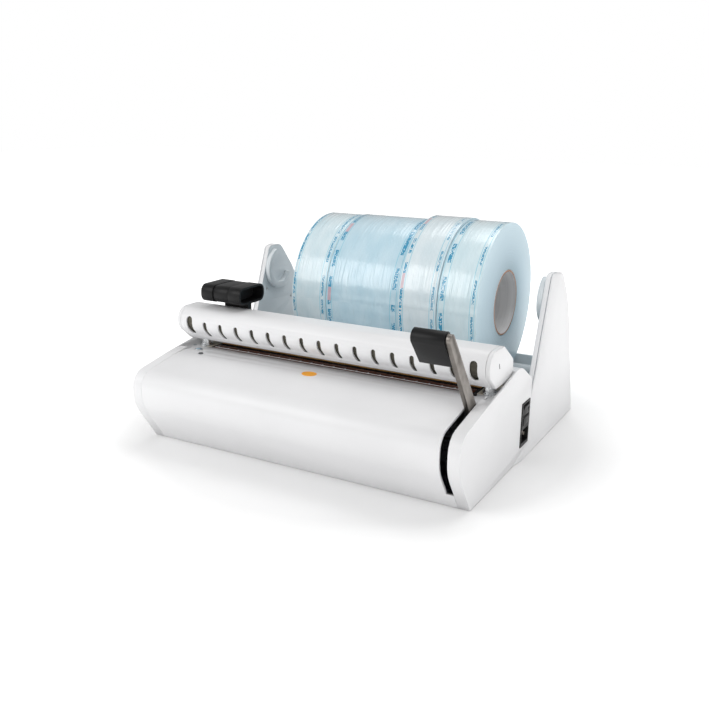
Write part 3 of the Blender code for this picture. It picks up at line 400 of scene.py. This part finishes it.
# ---------------------------------------------------------------- indicator lamps
# Two small acrylic lenses let into the deck at its left rear corner: a pale blue one in a
# plated steel bezel and a smoked one.
LENS_BLUE, tree, shader = new_material("tinted_acrylic_lens")
place = add_node(tree, "TexCoord")
facet = add_node(tree, "TexVoronoi", {"Vector": place.outputs["Object"], "Scale": 900.0})
blues = ((0.0, srgb("#b9d3e2")), (0.8, srgb("#7797ab")))
tone = add_node(tree, "ValToRGB", {"Fac": facet.outputs["Distance"]}, stops=blues)
tree.links.new(tone.outputs["Color"], shader.inputs["Base Color"])
shader.inputs["Roughness"].default_value = 0.12
shader.inputs["Coat Weight"].default_value = 1.0
SMOKED = moulded("smoked_lens", "#55595c", "#3e4245", 0.18, 0.0010, 0.00002)
paint(LENS_BLUE, "lamp_power")
paint(SMOKED, "lamp_ready")
DECK_FALL = radians(4.2)        # slope of the deck at the lamps
BEZEL_SINK = 0.0013             # middle of the bezel below the top of its lens
low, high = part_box("lamp_power")
deselect()
middle = (low + high) / 2
bpy.ops.mesh.primitive_torus_add(
    location=(middle.x, middle.y, high.z - BEZEL_SINK), rotation=(-DECK_FALL, 0.0, 0.0),
    major_radius=0.0042, minor_radius=0.0009, major_segments=48, minor_segments=12
)
bezel = bpy.context.object
bezel.name = "lamp_bezel"
finish_piece(bezel, ZINC, "machine")


# ---------------------------------------------------------------- mains inlet
# A black moulded module: rocker switch at the top, fuse drawer, and the socket's bay with
# three plated pins below.
STAINLESS = plated_steel("brushed_stainless_steel", "#b5aea8", "#8f8880", 0.36, 0.0005)
module = refined("inlet_housing", "mains_module", 0.0004)
finish_piece(module, BLACK, "machine", ["inlet_housing"])
finish_piece(refined("mains_rocker", "rocker_key", 0.0005), BLACK, "rocker", ["mains_rocker"])
drawer = refined("fuse_drawer", "fuse_carrier", 0.0004)
finish_piece(drawer, BLACK, "fuse_drawer", ["fuse_drawer"])
pins = refined("inlet_pins", "contact_pins", 0.0003)
finish_piece(pins, STAINLESS, "machine", ["inlet_pins"])


# ---------------------------------------------------------------- control board
# Glass-epoxy board standing on posts under the deck, in green solder mask that shows the
# copper pattern faintly.
BOARD, tree, shader = new_material("green_solder_mask")
place = add_node(tree, "TexCoord")
tracks = add_node(tree, "TexBrick", {
    "Vector": place.outputs["Object"], "Scale": 160.0, "Mortar Size": 0.05,
    "Color1": srgb("#1c6b3c"), "Color2": srgb("#17592f"), "Mortar": srgb("#2f8a54"),
})
tree.links.new(tracks.outputs["Color"], shader.inputs["Base Color"])
shader.inputs["Roughness"].default_value = 0.4
paint(BOARD, "control_board")


# ---------------------------------------------------------------- lever
# A flat bar of fine-grained stainless steel on the cam shaft, with a black moulded grip on the
# side that faces the bar.
LEVER_LEAN = radians(36.0)
grain_turn = (0.0, pi / 2 - LEVER_LEAN, pi / 2)
LEVER_STEEL = plated_steel("brushed_lever_steel", "#8e8984", "#6c6762", 0.34, 0.0005, grain_turn)
arm = refined("lever_arm", "lever_bar", 0.0006)
finish_piece(arm, LEVER_STEEL, "lever", ["lever_arm"])
finish_piece(refined("lever_grip", "lever_handle", 0.0), BLACK, "lever", ["lever_grip"])
finish_piece(refined("lever_shaft", "cam_shaft", 0.0003), ZINC, "lever", ["lever_shaft"])


# ---------------------------------------------------------------- pressing bar
# Two moulded covers and two end caps round a dark anodised beam; silicone pads under it
# press the film on the jaw.  A thin black sheet on each cap's outer face stands for a narrow
# slit that is not cut: painted shade.
ANODISED = plated_steel("dark_anodised_aluminium", "#5b584e", "#444139", 0.5, 0.0012)
ANODISED.node_tree.nodes["Principled BSDF"].inputs["Metallic"].default_value = 0.6
SILICONE = moulded("red_brown_silicone", "#94543f", "#7f4433", 0.6, 0.0010, 0.00006)
paint(ANODISED, "press_beam")
paint(SILICONE, "clamp_pad", "seal_pad")
for node, name, width in (
    ("bar_front_cover", "bar_front_shell", 0.0003),
    ("bar_rear_cover", "bar_rear_shell", 0.0003),
    ("left_bar_cap", "left_bar_end", 0.0),
    ("right_bar_cap", "right_bar_end", 0.0),
):
    finish_piece(refined(node, name, width, 2), WHITE, "bar", [node])
SLIT_SHADE_TILT = radians(20.0)
SLIT_SHADE_DROP = 0.019              # middle of the slit below the top of the cap
SLIT_SHADE_SIZE = (0.0002, 0.0014, 0.0062)
low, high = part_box("right_bar_cap")
# Each slit is a black sheet 0.2 mm thick laid on the cap: painted shade where the slit's hollow would be
# dark.
for side, x in (("left", -high.x), ("right", high.x)):
    deselect()
    spot = (x, LEDGE_MIDDLE_Y, high.z - SLIT_SHADE_DROP)
    bpy.ops.mesh.primitive_cube_add(size=1.0, location=spot, rotation=(SLIT_SHADE_TILT, 0.0, 0.0))
    slit_shade = bpy.context.object
    slit_shade.name = side + "_cap_slit_shade"
    slit_shade.scale = SLIT_SHADE_SIZE
    finish_piece(slit_shade, BLACK, "bar")


# ---------------------------------------------------------------- cutter
# A hollow black knob slides above the bar on a short stem and pulls the steel blade along
# its slot.  The knob is moulded in three sections with a groove between them.
def rounded_sheet(name, x, y, z, radius, segments=6):
    """An upright rectangle facing along X, with rounded corners."""
    deselect()
    middle = (x, (y[0] + y[1]) / 2, (z[0] + z[1]) / 2)
    bpy.ops.mesh.primitive_plane_add(size=1.0, location=middle, rotation=(0.0, pi / 2, 0.0))
    piece = bpy.context.object
    piece.name = name
    piece.scale = (z[1] - z[0], y[1] - y[0], 1.0)
    bpy.ops.object.transform_apply(location=True, rotation=True, scale=True)
    bpy.ops.object.mode_set(mode="EDIT")
    bpy.ops.mesh.select_all(action="SELECT")
    bpy.ops.mesh.bevel(offset=radius, segments=segments, affect="VERTICES")
    return piece


def pull(distance, grow=1.0, centre=(0.0, 0.0, 0.0)):
    """Extrude the selected face along X and scale the new one about a centre."""
    bpy.ops.mesh.extrude_region_move(TRANSFORM_OT_translate={"value": (distance, 0.0, 0.0)})
    if grow != 1.0:
        bpy.ops.transform.resize(value=(1.0, grow, grow), center_override=centre)


knob_low, knob_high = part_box("cutter_knob")
knob_middle = (knob_low + knob_high) / 2
GROOVE = 0.0008                 # width of the two grooves round the knob
NECK = 0.965                    # size of the middle section against the ends
FLOOR = NECK - 0.03             # size of the grooves' floors against the ends
KNOB_START = 0.0170             # length of the left section
KNOB_WAIST = 0.0210             # length of the middle section
KNOB_CORNER = 0.0088
KNOB_WALL = 0.0024
KNOB_HOLLOW = 0.0150            # depth of the hollow in the right end
knob_y = (knob_low.y, knob_high.y)
knob_z = (knob_low.z, knob_high.z)
knob = rounded_sheet("cutter_handle", knob_low.x, knob_y, knob_z, KNOB_CORNER)
pull(KNOB_START)
pull(0.0, FLOOR, knob_middle)
pull(GROOVE)
pull(0.0, NECK / FLOOR, knob_middle)
pull(KNOB_WAIST)
pull(0.0, FLOOR / NECK, knob_middle)
pull(GROOVE)
pull(0.0, 1 / FLOOR, knob_middle)
pull(knob_high.x - knob_low.x - KNOB_START - KNOB_WAIST - 2 * GROOVE)
bpy.ops.mesh.inset(thickness=KNOB_WALL)
pull(-KNOB_HOLLOW)
bpy.ops.mesh.select_all(action="SELECT")
bpy.ops.mesh.normals_make_consistent(inside=False)
bpy.ops.object.mode_set(mode="OBJECT")
rounded_edges(knob, 0.0007, 2, 50.0)
finish_piece(knob, BLACK, "cutter", ["cutter_knob"])
stem = refined("cutter_carriage", "cutter_stem", 0.0008)
finish_piece(stem, BLACK, "cutter", ["cutter_carriage"])
blade = refined("cutter_blade", "hooked_blade")
finish_piece(blade, STAINLESS, "cutter", ["cutter_blade"])


# ---------------------------------------------------------------- reel stand
# Two supports, each of a grey inner shell and a white outer one, stand on a white tray with a
# cross panel.  The grey of the inner faces, the cups and the rollers is partly the plastic's own
# colour and partly painted shade from the reels.  The panel is white plastic painted paler and
# bluer than the tray, which is painted light with the blue of its shade.  An open cup on each
# inner face can take a spindle.
# Pale blue-grey: partly the plastic's own grey and partly painted shade from the reels.
GREY_AND_PAINTED_SHADE = moulded("grey_abs_and_painted_shade", "#d9dfe2", "#d3d9dc", 0.5, 0.0009, 0.00004)
# The cross panel is white plastic; this colour is paler and bluer than the tray's white, which is painted
# light with the blue of its shade.
PANEL_PAINTED_LIGHT = moulded("white_abs_painted_light_blue_shade", "#edf3f6", "#e4ebee", 0.5, 0.0009, 0.00004)
RIMMED = moulded("grey_and_painted_shade_abs_white_rim", "#d9dfe2", "#d3d9dc", 0.5, 0.0009, 0.00004)
tree = RIMMED.node_tree
shader = tree.nodes["Principled BSDF"]
tinted = shader.inputs["Base Color"].links[0].from_socket
# Faces square to X take that grey with its painted shade; the front rims stay white.
facing = add_node(tree, "SeparateXYZ", {"Vector": add_node(tree, "TexCoord").outputs["Normal"]})
broad = add_node(tree, "Math", {0: facing.outputs["X"]}, operation="ABSOLUTE")
inside = add_node(tree, "Math", {0: broad.outputs["Value"], 1: 0.7}, operation="GREATER_THAN")
rimmed = add_node(tree, "Mix", {0: inside.outputs["Value"], 6: srgb("#e4e4e5"), 7: tinted}, data_type="RGBA")
tree.links.new(rimmed.outputs[2], shader.inputs["Base Color"])
for side in ("left", "right"):
    for node, name, material, slot, width in (
        ("_support_inner", "_stand_inner", RIMMED, "grey_white_abs", 0.0005),
        ("_support_outer", "_stand_outer", WHITE, "white_abs", 0.0008),
        ("_cradle_cup", "_cradle", GREY_AND_PAINTED_SHADE, "grey_white_abs", 0.0),
    ):
        finish_piece(refined(side + node, side + name, width), material, "machine", [side + node])
finish_piece(refined("stand_tray", "tray_shell", 0.0008), WHITE, "machine", ["stand_tray"])
panel = refined("stand_back_panel", "cross_panel", 0.0005)
finish_piece(panel, PANEL_PAINTED_LIGHT, "machine", ["stand_back_panel"])
for name in ("front_roller", "rear_roller"):
    roller = refined(name, name + "_tube", 0.0004)
    finish_piece(roller, GREY_AND_PAINTED_SHADE, name, [name])


# ---------------------------------------------------------------- reels
# Flat tubing of clear film on paper, wound on cardboard cores.  Printed columns in cyan run
# near its edges, two of them with pink patches; the film's gloss shows its wrinkles.
SEGMENTS = 128
MM = 1000.0
BOARD_WALL = 0.0022             # wall of a cardboard core
CORE_GAP = 0.0003               # between a core and the film wound on it
ROLL_SHOULDER = 0.0010
PRINT_BLUE = srgb("#2391b8")
LINE_BLUE = srgb("#63bfd6")
PATCH_PINK = srgb("#c6a9b5")
PATCH_REPEAT = 96.0             # millimetres round the roll
PATCH_PLACE = 40.0
PATCH_HALF = 9.0


def wound_ring(name, x, outer, inner, axis_y, axis_z, shoulder):
    """A thick ring about X: a cylinder bored out and with rounded outer shoulders."""
    deselect()
    bpy.ops.mesh.primitive_cylinder_add(
        vertices=SEGMENTS, radius=outer, depth=x[1] - x[0], end_fill_type="NGON",
        location=((x[0] + x[1]) / 2, axis_y, axis_z), rotation=(0.0, pi / 2, 0.0)
    )
    piece = bpy.context.object
    piece.name = name
    bpy.ops.object.transform_apply(location=True, rotation=True, scale=True)
    bpy.ops.object.mode_set(mode="EDIT")
    bpy.ops.mesh.select_all(action="DESELECT")
    bpy.ops.object.mode_set(mode="OBJECT")
    for face in piece.data.polygons:
        face.select = abs(face.normal.x) > 0.9
    bpy.ops.object.mode_set(mode="EDIT")
    bpy.ops.mesh.select_mode(type="FACE")
    bpy.ops.mesh.inset(thickness=outer - inner, use_individual=True)
    bpy.ops.mesh.bridge_edge_loops()
    bpy.ops.object.mode_set(mode="OBJECT")
    if shoulder:
        rounded_edges(piece, shoulder, 3, 50.0)
    return piece


def unroll(piece, x, radius, axis_y, axis_z):
    """UV map in millimetres: across the roll from its left edge, and round its surface."""
    layer = piece.data.uv_layers.new(name="unrolled")
    for face in piece.data.polygons:
        middle = face.center
        home = atan2(middle.z - axis_z, middle.y - axis_y)
        for corner in face.loop_indices:
            point = piece.data.vertices[piece.data.loops[corner].vertex_index].co
            angle = atan2(point.z - axis_z, point.y - axis_y)
            angle = home + (angle - home + pi) % (2 * pi) - pi
            layer.data[corner].uv = ((point.x - x) * MM, angle * radius * MM)


def cardboard(name, light, dark, ring):
    """Spirally wound grey board: plies show as fine lines, drawn coarse enough to see."""
    made, tree, shader = new_material(name)
    place = add_node(tree, "TexCoord")
    plies = add_node(tree, "Mapping", {"Vector": place.outputs["Object"], "Scale": (1 / ring, 9.0, 9.0)})
    fibre = add_node(tree, "TexNoise", {"Vector": plies.outputs["Vector"], "Scale": 1.0, "Detail": 5.0})
    tones = ((0.3, srgb(dark)), (0.7, srgb(light)))
    tone = add_node(tree, "ValToRGB", {"Fac": fibre.outputs["Fac"]}, stops=tones)
    relief = add_node(tree, "Bump", {"Height": fibre.outputs["Fac"], "Strength": 0.4, "Distance": 0.0001})
    tree.links.new(tone.outputs["Color"], shader.inputs["Base Color"])
    tree.links.new(relief.outputs["Normal"], shader.inputs["Normal"])
    shader.inputs["Roughness"].default_value = 0.85
    return made


CORE_LINING = cardboard("grey_board_lining", "#f1f0f0", "#dddcdc", 0.004)
CORE_EDGE = cardboard("cut_board_edge", "#b78f79", "#a07a66", 0.0008)


def winding_edge(name, axis_y, axis_z):
    """The cut edges of hundreds of turns: thin rings, bluer towards the core."""
    made, tree, shader = new_material(name)
    place = add_node(tree, "TexCoord")
    centred = add_node(tree, "Mapping", {
        "Vector": place.outputs["Object"], "Location": (0.0, -axis_y, -axis_z), "Scale": (0.0, 1.0, 1.0),
    })
    radius = add_node(tree, "VectorMath", {0: centred.outputs["Vector"]}, operation="LENGTH")
    turns = add_node(tree, "TexNoise", {"W": radius.outputs["Value"], "Scale": 1100.0, "Detail": 3.0},
                     noise_dimensions="1D")
    span = {"Value": radius.outputs["Value"], "From Min": 0.040, "From Max": 0.098}
    broad = add_node(tree, "MapRange", span)
    fade = add_node(tree, "ValToRGB", {"Fac": broad.outputs["Result"]},
                    stops=((0.0, srgb("#9dbac7")), (1.0, srgb("#cbe0e9")), (0.35, srgb("#b3ccd8"))))
    lines = add_node(tree, "MapRange", {"Value": turns.outputs["Fac"], "From Min": 0.35, "From Max": 0.65,
                                        "To Min": 0.90, "To Max": 1.04})
    tone = add_node(tree, "Mix", {0: 1.0, 6: fade.outputs["Color"], 7: lines.outputs["Result"]},
                    data_type="RGBA", blend_type="MULTIPLY")
    relief = add_node(tree, "Bump", {"Height": turns.outputs["Fac"], "Strength": 0.5, "Distance": 0.0002})
    tree.links.new(tone.outputs[2], shader.inputs["Base Color"])
    tree.links.new(relief.outputs["Normal"], shader.inputs["Normal"])
    shader.inputs["Roughness"].default_value = 0.45
    return made


def pouch_film(name, light, dark, columns, seed):
    """Clear film over paper, from the roll's own UV: printed columns of marks and lines.

    Each column is (middle, width, marks' strength, patch) in millimetres across the roll.
    """
    made, tree, shader = new_material(name)
    spot = add_node(tree, "UVMap", uv_map="unrolled")
    parts = add_node(tree, "SeparateXYZ", {"Vector": spot.outputs["UV"]})
    across = parts.outputs["X"]
    around = parts.outputs["Y"]
    shifted = add_node(tree, "Math", {0: around, 1: seed}, operation="ADD").outputs["Value"]
    cloud_place = add_node(tree, "Mapping", {"Vector": spot.outputs["UV"], "Location": (seed, 0.0, 0.0),
                                             "Scale": (0.05, 0.02, 1.0)})
    cloud = add_node(tree, "TexNoise", {"Vector": cloud_place.outputs["Vector"], "Scale": 1.0, "Detail": 3.0})
    tones = ((0.3, srgb(dark)), (0.7, srgb(light)))
    colour = add_node(tree, "ValToRGB", {"Fac": cloud.outputs["Fac"]}, stops=tones).outputs["Color"]
    cell = add_node(tree, "VectorMath", {0: spot.outputs["UV"], 1: (0.9, 1.3, 1.0)}, operation="SNAP")
    draw = {"Vector": cell.outputs["Vector"], "W": seed}
    marks = add_node(tree, "TexWhiteNoise", draw, noise_dimensions="4D")
    chosen = add_node(tree, "Math", {0: marks.outputs["Value"], 1: 0.24}, operation="GREATER_THAN")
    printed = chosen.outputs["Value"]
    for middle, width, strength, patch in columns:
        column = {0: across, 1: middle, 2: width / 2}
        inside = add_node(tree, "Math", column, operation="COMPARE").outputs["Value"]
        blocks = add_node(tree, "TexNoise", {"W": shifted, "Scale": 0.045 + 0.01 * patch, "Detail": 0.0},
                          noise_dimensions="1D")
        there = add_node(tree, "Math", {0: blocks.outputs["Fac"], 1: 0.40}, operation="GREATER_THAN")
        inked = add_node(tree, "Math", {0: inside, 1: printed}, operation="MULTIPLY")
        both = {0: inked.outputs["Value"], 1: there.outputs["Value"]}
        inked = add_node(tree, "Math", both, operation="MULTIPLY")
        inked = add_node(tree, "Math", {0: inked.outputs["Value"], 1: strength}, operation="MULTIPLY")
        colour = add_node(tree, "Mix", {0: inked.outputs["Value"], 6: colour, 7: PRINT_BLUE},
                          data_type="RGBA").outputs[2]
        for offset in (-width / 2 - 1.6, width / 2 + 1.4):
            line = add_node(tree, "Math", {0: across, 1: middle + offset, 2: 0.45}, operation="COMPARE")
            faint = add_node(tree, "Math", {0: line.outputs["Value"], 1: 0.65}, operation="MULTIPLY")
            colour = add_node(tree, "Mix", {0: faint.outputs["Value"], 6: colour, 7: LINE_BLUE},
                              data_type="RGBA").outputs[2]
        if patch:
            lap = add_node(tree, "Math", {0: shifted, 1: PATCH_REPEAT}, operation="MODULO")
            band = {0: lap.outputs["Value"], 1: PATCH_PLACE, 2: PATCH_HALF}
            near = add_node(tree, "Math", band, operation="COMPARE")
            spotted = add_node(tree, "Math", {0: near.outputs["Value"], 1: inside}, operation="MULTIPLY")
            colour = add_node(tree, "Mix", {0: spotted.outputs["Value"], 6: colour, 7: PATCH_PINK},
                              data_type="RGBA").outputs[2]
    wrinkle_place = add_node(tree, "Mapping", {"Vector": spot.outputs["UV"], "Location": (seed, seed, 0.0),
                                               "Scale": (0.32, 0.012, 1.0)})
    creases = {"Vector": wrinkle_place.outputs["Vector"], "Scale": 1.0, "Detail": 4.0}
    wrinkles = add_node(tree, "TexNoise", creases)
    relief = add_node(tree, "Bump", {"Height": wrinkles.outputs["Fac"], "Strength": 0.8, "Distance": 0.0013})
    tree.links.new(colour, shader.inputs["Base Color"])
    tree.links.new(relief.outputs["Normal"], shader.inputs["Normal"])
    shader.inputs["Roughness"].default_value = 0.30
    shader.inputs["Coat Weight"].default_value = 1.0
    shader.inputs["Coat Roughness"].default_value = 0.07
    shader.inputs["Coat IOR"].default_value = 1.65
    tree.links.new(relief.outputs["Normal"], shader.inputs["Coat Normal"])
    return made


REELS = (                       # name, light and dark tone, printed columns
    ("a", "#dae9ee", "#c6dde5", ((3.0, 2.6, 1.0, 0), (44.4, 3.4, 0.9, 0))),
    ("b", "#c6dfea", "#b3d3e1", ((5.0, 4.4, 1.0, 1), (93.0, 5.0, 1.0, 0))),
    ("c", "#dde8ec", "#cddde3", ((4.0, 3.4, 1.0, 1), (44.4, 3.0, 0.8, 0))),
    ("d", "#d8e9ee", "#c8dfe6", ((5.4, 4.6, 1.0, 0), (43.6, 2.8, 0.9, 0))),
)
for index, (letter, light, dark, columns) in enumerate(REELS):
    core = "reel_%s_core" % letter
    film = "reel_%s_film" % letter
    film_low, film_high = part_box(film)
    core_low, core_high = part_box(core)
    axis_y = (film_low.y + film_high.y) / 2
    axis_z = (film_low.z + film_high.z) / 2
    outer = (film_high.z - film_low.z) / 2
    core_outer = (core_high.z - core_low.z) / 2
    x = (film_low.x, film_high.x)
    core_x = (core_low.x, core_high.x)
    core_inner = core_outer - BOARD_WALL
    tube = wound_ring("reel_%s_tube" % letter, core_x, core_outer, core_inner, axis_y, axis_z, 0.0003)
    finish_piece(tube, CORE_LINING, "reel_" + letter, [core])
    tube.data.materials.append(CORE_EDGE)
    for face in tube.data.polygons:
        face.material_index = 1 if abs(face.normal.x) > 0.7 else 0
    bore = core_outer + CORE_GAP
    roll = wound_ring("reel_%s_roll" % letter, x, outer, bore, axis_y, axis_z, ROLL_SHOULDER)
    unroll(roll, x[0], outer, axis_y, axis_z)
    film_skin = pouch_film("wound_pouch_film_" + letter, light, dark, columns, 17.0 * (index + 1))
    finish_piece(roll, film_skin, "reel_" + letter, [film])
    roll.data.materials.append(winding_edge("winding_edge_" + letter, axis_y, axis_z))
    for face in roll.data.polygons:
        face.material_index = 1 if abs(face.normal.x) > 0.7 else 0


low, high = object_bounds()
